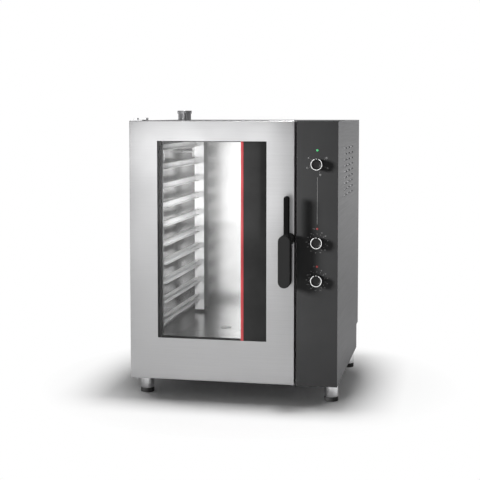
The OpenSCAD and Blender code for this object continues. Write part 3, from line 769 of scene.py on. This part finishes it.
KNOBS = {"mode": "mode_knob", "timer": "timer_knob", "temperature": "temperature_knob"}
NUMBER_R = 37 * MM
ICON_R = 38 * MM
TICK_W = 1.0 * MM
LAMP_R = 4 * MM
green = Box("indicator_green")
red = Box("indicators_red")
RED_LAMP_ZS = (red.z0 + LAMP_R, red.z1 - LAMP_R)


def make_knob(kind, body):
    """Fluted knob with a dished face, on its shaft."""
    node = "knob_" + kind
    box = Box(node)
    radius = (box.x1 - box.x0) / 2
    depth = 27 * MM
    shaft_r = 3 * MM
    shaft_end = 50 * MM
    flutes = 36
    flute_depth = 0.9 * MM
    profile = [
        (0, 0.8 * MM), (radius * 0.5, 0.9 * MM), (radius - 4.6 * MM, 0.6 * MM),
        (radius - 4 * MM, -0.2 * MM), (radius - 1.0 * MM, 0), (radius - 0.3 * MM, 0.6 * MM),
        (radius, 3 * MM), (radius, 12 * MM), (radius, 22 * MM), (radius - 0.6 * MM, depth),
        (shaft_r + 1 * MM, depth), (shaft_r, depth), (shaft_r, shaft_end), (0, shaft_end),
    ]
    mesh = bmesh.new()
    add_lathe(mesh, profile, (box.x, box.y0, box.z), (0, 1, 0), steps=flutes * 4)
    for v in mesh.verts:
        offset = Vector((v.co.x - box.x, 0, v.co.z - box.z))
        along = v.co.y - box.y0
        if offset.length > radius - 0.5 * MM and 2 * MM < along < 25 * MM:
            turn = math.atan2(offset.z, offset.x)
            wave = 0.5 + 0.5 * math.cos(turn * flutes)
            offset.length = offset.length - flute_depth * wave
            v.co.x = box.x + offset.x
            v.co.z = box.z + offset.z
    piece(node + "_moulded", mesh, body, BLACK_PLASTIC, (node,), angle=50)


def make_knob_ring(kind, body):
    """Bright ring on a knob's face, open at the top, with the pointer mark in its gap."""
    ring_node = "knob_ring_" + kind
    box = Box("knob_" + kind)
    ring = Box(ring_node)
    outer = (ring.x1 - ring.x0) / 2 - 0.5 * MM
    inner = outer - 2.4 * MM
    gap = 21
    steps = 60
    start = 90 + gap
    back = 2.2 * MM
    mesh = bmesh.new()
    section = [
        (inner, 0.5 * MM), (inner + 0.4 * MM, 0), (outer - 0.4 * MM, 0), (outer, 0.5 * MM),
        (outer, back), (inner, back),
    ]
    loops = []
    for i in range(steps + 1):
        t = math.radians(start + (360 - 2 * gap) * i / steps)
        loops.append([
            mesh.verts.new((box.x + r * math.cos(t), ring.y0 + h, box.z + r * math.sin(t)))
            for r, h in section
        ])
    for a, b in zip(loops, loops[1:]):
        for i in range(len(section)):
            j = (i + 1) % len(section)
            mesh.faces.new((a[i], a[j], b[j], b[i]))
    mesh.faces.new(loops[0])
    mesh.faces.new(loops[-1][::-1])
    piece(ring_node + "_inlaid", mesh, body, RING_WHITE, (ring_node,))
    half = 1.4 * MM
    mark = bmesh.new()
    add_box(mark, (box.x - half, ring.y0 + 0.1 * MM, box.z + inner),
            (box.x + half, ring.y0 + 1.6 * MM, box.z + outer - 0.2 * MM))
    soften(mark, 0.3 * MM)
    piece("pointer_" + kind, mark, body, RING_WHITE)


def mark_piece(name, mesh):
    """Print on the control panel."""
    piece(name, mesh, "cabinet", MARK_GREY)


def around(box, turn, radius):
    """Point on the panel at a clockwise turn from the top, in degrees."""
    t = math.radians(turn)
    return box.x + radius * math.sin(t), box.z + radius * math.cos(t)


def add_tick(mesh, box, turn, inner, outer):
    """A raised printed dash on the panel, pointing at the knob."""
    made = add_box(mesh, (-TICK_W / 2, -PRINT_RISE, inner), (TICK_W / 2, 0, outer))
    rotate = Matrix.Rotation(math.radians(turn), 4, "Y")
    for v in made:
        v.co = rotate @ v.co + Vector((box.x, front_y, box.z))


def add_ring_mark(mesh, cx, cz, radius, width, start=0, end=360):
    """A thin printed ring or arc on the panel."""
    steps = max(6, int(abs(end - start) / 15))
    outer = arc(cx, cz, radius, start, end, steps)
    inner = arc(cx, cz, radius - width, start, end, steps)
    for i in range(steps):
        quad = [outer[i], outer[i + 1], inner[i + 1], inner[i]]
        add_prism(mesh, quad, front_y - PRINT_RISE, front_y)


def make_scale(kind):
    """Ticks of a dial to both sides of the top, every second one longer."""
    box = Box("knob_" + kind)
    reach = 150
    count = 13
    mesh = bmesh.new()
    for i in range(count):
        turn = reach * (2 * i / (count - 1) - 1)
        outer = 30 * MM if i % 2 else 32 * MM
        add_tick(mesh, box, turn, 27.5 * MM, outer)
    mark_piece("dial_ticks_" + kind, mesh)


def make_numbers(kind, labels, height):
    """Numbers round a dial, as thin raised print, spread over the knob's travel."""
    box = Box("knob_" + kind)
    first = 25
    travel = 300
    for i, label in enumerate(labels):
        turn = first + travel * i / (len(labels) - 1)
        x, z = around(box, turn, NUMBER_R)
        curve = bpy.data.curves.new("dial_number", "FONT")
        curve.body = str(label)
        curve.size = height
        curve.extrude = 0.07 * MM
        curve.align_x = "CENTER"
        curve.align_y = "CENTER"
        text = in_scene("dial_number", curve)
        graph = bpy.context.evaluated_depsgraph_get()
        data = bpy.data.meshes.new_from_object(text.evaluated_get(graph))
        bpy.data.objects.remove(text)
        upright = Matrix.Rotation(math.pi / 2, 4, "X")
        data.transform(Matrix.Translation((x, front_y - 0.08 * MM, z)) @ upright)
        obj = in_scene(f"dial_{kind}_{label}", data)
        finish_piece(obj, "cabinet", MARK_GREY)


def make_mode_icons():
    """Generic signs for hot air, steam, both together, light and cooling, each with its tick."""
    box = Box("knob_mode")
    hot_air, steam, combined, light, cooling = 55, 110, 165, -110, -55
    mesh = bmesh.new()
    for turn in (hot_air, steam, combined, light, cooling):
        add_tick(mesh, box, turn, 27 * MM, 30 * MM)

    # a fan: four dots in a ring
    x, z = around(box, hot_air, ICON_R)
    add_ring_mark(mesh, x, z, 3.6 * MM, 0.8 * MM)
    for dot_x, dot_z in arc(x, z, 1.5 * MM, 0, 270, 3):
        add_prism(mesh, arc(dot_x, dot_z, 0.7 * MM, 0, 315, 7), front_y - PRINT_RISE, front_y)

    # three rising waves
    x, z = around(box, steam, ICON_R)
    for dx in (-2.4 * MM, 0, 2.4 * MM):
        add_ring_mark(mesh, x + dx, z + 1.5 * MM, 1.5 * MM, 0.7 * MM, 90, 270)
        add_ring_mark(mesh, x + dx, z - 1.5 * MM, 1.5 * MM, 0.7 * MM, -90, 90)

    # two rings
    x, z = around(box, combined, ICON_R)
    add_ring_mark(mesh, x, z, 3.6 * MM, 0.8 * MM)
    add_ring_mark(mesh, x, z, 1.8 * MM, 0.7 * MM)

    # an open ring
    x, z = around(box, light, ICON_R)
    add_ring_mark(mesh, x, z, 3.4 * MM, 0.8 * MM, 20, 340)

    # a star of three bars
    x, z = around(box, cooling, ICON_R)
    for a in (0, 60, 120):
        t = math.radians(a)
        half = Vector((math.cos(t), 0, math.sin(t))) * 3.2 * MM
        across = Vector((-math.sin(t), 0, math.cos(t))) * 0.35 * MM
        corners = [half + across, half - across, -half - across, -half + across]
        outline = [(x + c.x, z + c.z) for c in corners]
        add_prism(mesh, outline, front_y - PRINT_RISE, front_y)
    mark_piece("mode_icons", mesh)


def make_panel_lines():
    """Hairline between the mode dial and the timer, and a small mark beside each red lamp."""
    mode = Box("knob_mode")
    timer = Box("knob_timer")
    line_half = 0.4 * MM
    mesh = bmesh.new()
    add_box(mesh, (mode.x - line_half, front_y - PRINT_RISE, timer.z + 63 * MM),
            (mode.x + line_half, front_y, mode.z - 45 * MM))
    mark_piece("panel_hairline", mesh)
    mark_x = mode.x - 12 * MM
    stroke_half = 0.3 * MM
    mesh = bmesh.new()
    for z in RED_LAMP_ZS:
        add_ring_mark(mesh, mark_x, z, 2.6 * MM, 0.7 * MM, -60, 240)
        add_box(mesh, (mark_x - stroke_half, front_y - PRINT_RISE, z),
                (mark_x + stroke_half, front_y, z + 3 * MM))
    mark_piece("lamp_marks", mesh)


def make_lenses(name, node, heights, material):
    """Domed lenses on their stems, at those heights."""
    box = Box(node)
    rim = (box.x1 - box.x0) / 2
    rise = front_y - box.y0
    stem_r = 3 * MM
    stem_end = 10 * MM
    profile = [
        (0, stem_end), (stem_r, stem_end), (stem_r, rise), (rim, rise), (rim, rise * 0.6),
        (rim * 0.85, rise * 0.25), (rim * 0.5, rise * 0.05), (0, 0),
    ]
    mesh = bmesh.new()
    for z in heights:
        add_lathe(mesh, profile, (box.x, box.y0, z), (0, 1, 0), steps=24)
    piece(name, mesh, "cabinet", material, (node,), angle=60)


# ---------------------------------------------------------------- small trim

SCREW_H = 1.6 * MM


def add_screw(mesh, centre, axis, radius):
    """Pan head with a round recess."""
    profile = [
        (0, SCREW_H * 0.62), (radius * 0.35, SCREW_H * 0.7), (radius * 0.42, SCREW_H),
        (radius * 0.72, SCREW_H * 0.86), (radius * 0.95, SCREW_H * 0.45), (radius, 0), (0, 0),
    ]
    add_lathe(mesh, profile, centre, axis, steps=20)


def make_screws():
    """Sheet screws along the top of the right side and round the rear cover."""
    mesh = bmesh.new()
    cover = Box("rear_cover")
    # the side's heads sink in until their tops are level with the sheet
    for y in (front_y + 150 * MM, front_y + 540 * MM):
        add_screw(mesh, (side.x1 - SCREW_H, y, side.z1 - 25 * MM), (1, 0, 0), 4.5 * MM)
    for x in (cover.x0 + 25 * MM, cover.x, cover.x1 - 25 * MM):
        for z in (cover.z0 + 22 * MM, cover.z, cover.z1 - 45 * MM):
            add_screw(mesh, (x, cover.y1 - 0.2 * MM, z), (0, 1, 0), 4.2 * MM)
    piece("panel_screws", mesh, "cabinet", STEEL_BRIGHT)


def make_vent_ribs():
    """Upright ribs round the vent's neck, between the roof and the crown."""
    neck = Box("vent_pipe")
    crown = Box("vent_cap")
    roof_z = Box("top_panel").z1
    reach = (neck.x1 - neck.x0) / 2
    ribs = 14
    rib_r = 2.4 * MM
    height = crown.z0 - roof_z
    chamfer = 1 * MM
    profile = [
        (0, 0), (rib_r, 0), (rib_r, height - chamfer), (rib_r - chamfer, height), (0, height),
    ]
    mesh = bmesh.new()
    for i in range(ribs):
        turn = 2 * math.pi * i / ribs
        foot = (neck.x + reach * math.cos(turn), neck.y + reach * math.sin(turn), roof_z)
        add_lathe(mesh, profile, foot, (0, 0, 1), steps=12)
    piece("vent_ribs", mesh, "cabinet", STEEL_BACK)


def make_creases():
    """Pressed lines in the chamber floor that lead water to the drain."""
    drain = Box("drain_strainer")
    floor_z = chamber.z0 + SHEET
    margin = 40 * MM
    drain_gap = 26 * MM
    half_width = 1.5 * MM
    sunk = 0.2 * MM
    rise = 0.3 * MM
    corners = [
        (x, y)
        for x in (chamber.x0 + margin, chamber.x1 - margin)
        for y in (chamber.y0 + margin, chamber.y1 - margin)
    ]
    mesh = bmesh.new()
    for x, y in corners:
        start = Vector((drain.x, drain.y, 0))
        way = Vector((x, y, 0)) - start
        along = way.normalized()
        start += along * drain_gap
        across = Vector((-along.y, along.x, 0)) * half_width
        end = Vector((x, y, 0))
        tip = across * 0.3
        base = [start - across, end - tip, end + tip, start + across]
        lower = [mesh.verts.new((p.x, p.y, floor_z - sunk)) for p in base]
        crest = [mesh.verts.new((p.x, p.y, floor_z + rise)) for p in (start, end)]
        mesh.faces.new((lower[0], lower[1], crest[1], crest[0]))
        mesh.faces.new((lower[2], lower[3], crest[0], crest[1]))
        mesh.faces.new((lower[1], lower[2], crest[1]))
        mesh.faces.new((lower[3], lower[0], crest[0]))
        mesh.faces.new(lower[::-1])
    piece("floor_creases", mesh, "cabinet", STEEL_CHAMBER)


make_print()
make_handle()
make_hub_collar()
for kind, body in KNOBS.items():
    make_knob(kind, body)
    make_knob_ring(kind, body)
make_mode_icons()
make_scale("timer")
make_scale("temperature")
make_numbers("timer", range(10, 130, 10), 5.0 * MM)
make_numbers("temperature", range(50, 290, 20), 4.4 * MM)
make_panel_lines()
make_lenses("green_lens", "indicator_green", [green.z], GREEN_LAMP)
make_lenses("red_lenses", "indicators_red", RED_LAMP_ZS, RED_LAMP)
make_screws()
make_vent_ribs()
make_creases()
link_light(
    key_light, "EXCLUDE", "floor", "door_skin_folded", "side_panel_left_finished",
    "vent_pipe_finished", "vent_cap_finished", "vent_ribs", "hinge_brackets_finished",
    "hinge_pins_finished",
)
link_light(front_light, "EXCLUDE", "floor", "control_panel_folded")
link_light(top_light, "EXCLUDE", "top_panel_finished")
link_light(rack_light, "INCLUDE", "rack_left_finished")
link_light(wall_light, "INCLUDE", "cavity_shell_finished")
